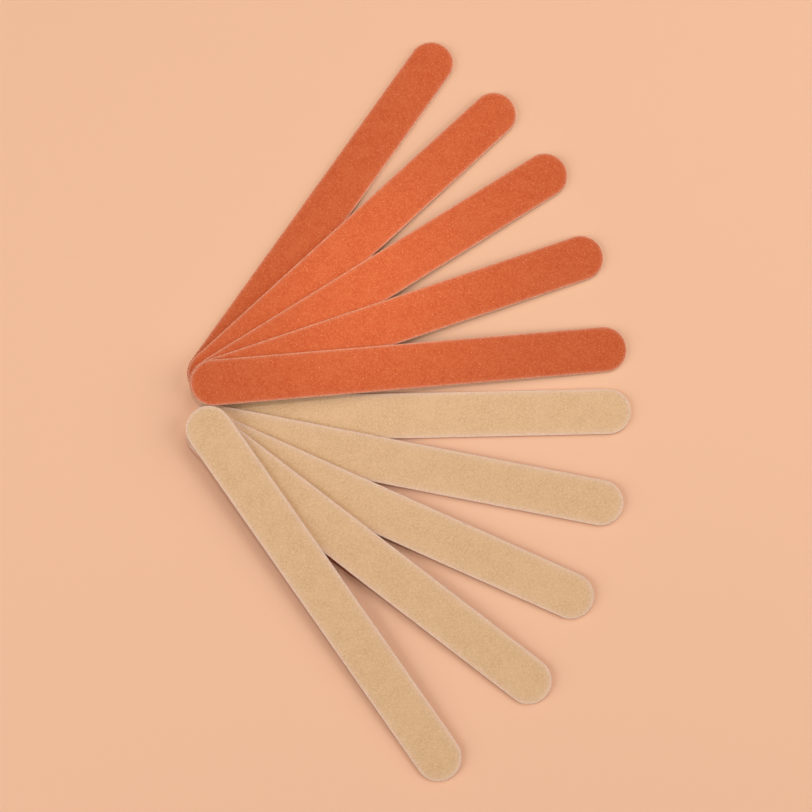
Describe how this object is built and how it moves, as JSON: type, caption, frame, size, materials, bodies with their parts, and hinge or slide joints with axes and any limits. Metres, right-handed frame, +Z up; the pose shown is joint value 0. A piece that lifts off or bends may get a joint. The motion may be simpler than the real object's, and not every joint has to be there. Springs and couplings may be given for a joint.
{
  "type": "emery board set",
  "caption": "Loose double-sided emery boards with round ends, fanned out on a table: one fan shows coarse orange-red grit, the other shows fine tan grit.",
  "frame": {"origin": "middle of the set's box, on the table", "axes": "+X from the piles to the tips, +Y across the fans from the fine fan to the coarse fan, +Z up from the table"},
  "size_m": [0.1166, 0.1948, 0.0062],
  "materials": {
    "pulp_core": "matt pale pulp board",
    "glue_film": "dried glue",
    "coarse_abrasive": "coarse orange-red grit on paper",
    "fine_abrasive": "fine tan grit on paper"
  },
  "bodies": {
    "board_01": {"board_01_fine_paper": "fine_abrasive", "board_01_fine_glue": "glue_film", "board_01_core": "pulp_core", "board_01_coarse_glue": "glue_film", "board_01_coarse_paper": "coarse_abrasive"},
    "board_02": {"board_02_fine_paper": "fine_abrasive", "board_02_fine_glue": "glue_film", "board_02_core": "pulp_core", "board_02_coarse_glue": "glue_film", "board_02_coarse_paper": "coarse_abrasive"},
    "board_03": {"board_03_fine_paper": "fine_abrasive", "board_03_fine_glue": "glue_film", "board_03_core": "pulp_core", "board_03_coarse_glue": "glue_film", "board_03_coarse_paper": "coarse_abrasive"},
    "board_04": {"board_04_fine_paper": "fine_abrasive", "board_04_fine_glue": "glue_film", "board_04_core": "pulp_core", "board_04_coarse_glue": "glue_film", "board_04_coarse_paper": "coarse_abrasive"},
    "board_05": {"board_05_fine_paper": "fine_abrasive", "board_05_fine_glue": "glue_film", "board_05_core": "pulp_core", "board_05_coarse_glue": "glue_film", "board_05_coarse_paper": "coarse_abrasive"},
    "board_06": {"board_06_fine_paper": "fine_abrasive", "board_06_fine_glue": "glue_film", "board_06_core": "pulp_core", "board_06_coarse_glue": "glue_film", "board_06_coarse_paper": "coarse_abrasive"},
    "board_07": {"board_07_fine_paper": "fine_abrasive", "board_07_fine_glue": "glue_film", "board_07_core": "pulp_core", "board_07_coarse_glue": "glue_film", "board_07_coarse_paper": "coarse_abrasive"},
    "board_08": {"board_08_fine_paper": "fine_abrasive", "board_08_fine_glue": "glue_film", "board_08_core": "pulp_core", "board_08_coarse_glue": "glue_film", "board_08_coarse_paper": "coarse_abrasive"},
    "board_09": {"board_09_fine_paper": "fine_abrasive", "board_09_fine_glue": "glue_film", "board_09_core": "pulp_core", "board_09_coarse_glue": "glue_film", "board_09_coarse_paper": "coarse_abrasive"},
    "board_10": {"board_10_fine_paper": "fine_abrasive", "board_10_fine_glue": "glue_film", "board_10_core": "pulp_core", "board_10_coarse_glue": "glue_film", "board_10_coarse_paper": "coarse_abrasive"}
  },
  "joints": [
    {"name": "lower_fan_slide", "type": "slide", "parent": "board_01", "child": "board_06", "axis": [0, -1, 0], "range_m": [0, 0.06]},
    {"name": "board_02_swing", "type": "hinge", "parent": "board_01", "child": "board_02", "pos_m": [-0.0517, 0.00709, 0.00142], "axis": [0.0412, -0.0286, 0.9987], "range_deg": [0, 12]},
    {"name": "board_03_swing", "type": "hinge", "parent": "board_02", "child": "board_03", "pos_m": [-0.04999, 0.00551, 0.00247], "axis": [0.0448, -0.0325, 0.9985], "range_deg": [0, 10.8]},
    {"name": "board_04_swing", "type": "hinge", "parent": "board_03", "child": "board_04", "pos_m": [-0.05101, 0.00441, 0.00364], "axis": [0.045, -0.0327, 0.9985], "range_deg": [0, 13.3]},
    {"name": "board_05_swing", "type": "hinge", "parent": "board_04", "child": "board_05", "pos_m": [-0.05048, 0.00413, 0.00478], "axis": [0.0462, -0.0363, 0.9983], "range_deg": [0, 13.9]},
    {"name": "board_07_swing", "type": "hinge", "parent": "board_06", "child": "board_07", "pos_m": [-0.05067, -0.00721, 0.00133], "axis": [0.001, -0.0463, 0.9989], "range_deg": [0, 12.2]},
    {"name": "board_08_swing", "type": "hinge", "parent": "board_07", "child": "board_08", "pos_m": [-0.05174, -0.00905, 0.0024], "axis": [0.0006, -0.0483, 0.9988], "range_deg": [0, 13]},
    {"name": "board_09_swing", "type": "hinge", "parent": "board_08", "child": "board_09", "pos_m": [-0.05067, -0.01006, 0.00353], "axis": [-0.0014, -0.0528, 0.9986], "range_deg": [0, 13.4]},
    {"name": "board_10_swing", "type": "hinge", "parent": "board_09", "child": "board_10", "pos_m": [-0.0515, -0.00786, 0.00482], "axis": [-0.0036, -0.0556, 0.9984], "range_deg": [0, 17.4]}
  ]
}
